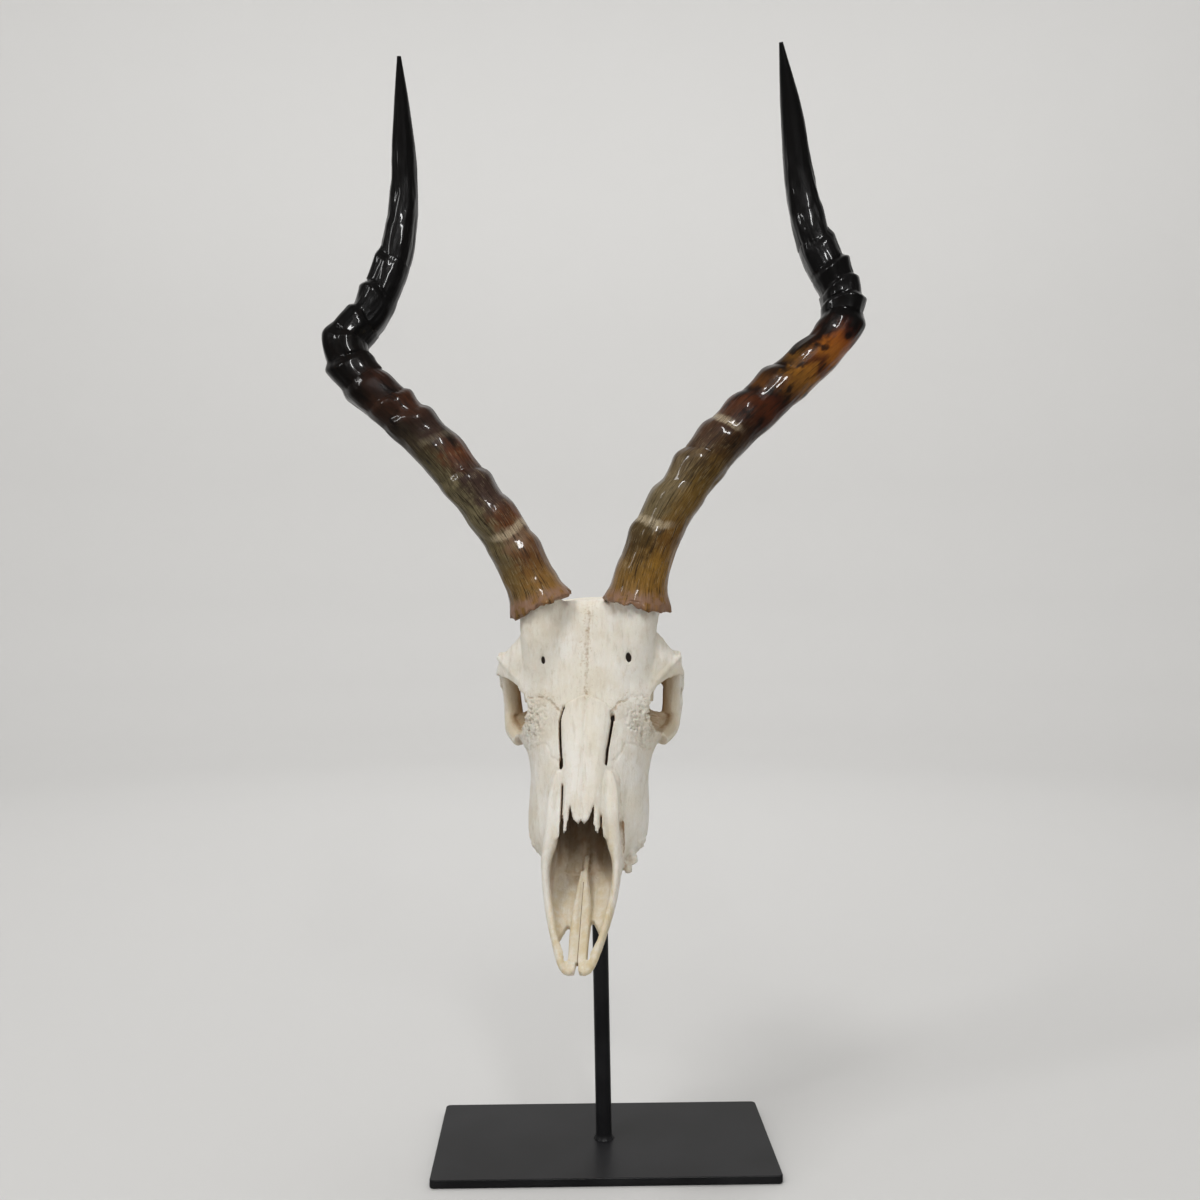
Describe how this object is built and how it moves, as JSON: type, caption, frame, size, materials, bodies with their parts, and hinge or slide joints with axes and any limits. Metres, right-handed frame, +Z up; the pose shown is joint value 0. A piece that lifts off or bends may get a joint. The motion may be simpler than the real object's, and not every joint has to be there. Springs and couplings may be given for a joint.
{
  "type": "horned skull on a stand",
  "caption": "Bleached antelope skull with long, ringed, polished lyre-shaped horns, held nose down on a black steel rod that rises from a flat oblong base plate.",
  "frame": {"origin": "middle of the base plate's underside, under the foot of the rod", "axes": "+Z up; the skull's face looks along -Y, nose down; +X is the animal's left, which is the viewer's right"},
  "size_m": [0.3253, 0.2052, 0.6787],
  "materials": {
    "stand": "satin black powder coat",
    "bone": "bleached bone with a satin seal",
    "horn": "polished horn under clear gloss varnish",
    "tooth": "worn enamel"
  },
  "bodies": {
    "root": {"base_plate": "stand", "rod": "stand", "skull": "bone", "horn_left": "horn", "horn_right": "horn", "premolar_1_left": "tooth", "premolar_1_right": "tooth", "premolar_2_left": "tooth", "premolar_2_right": "tooth", "premolar_3_left": "tooth", "premolar_3_right": "tooth", "molar_1_left": "tooth", "molar_1_right": "tooth", "molar_2_left": "tooth", "molar_2_right": "tooth", "molar_3_left": "tooth", "molar_3_right": "tooth"}
  },
  "joints": []
}
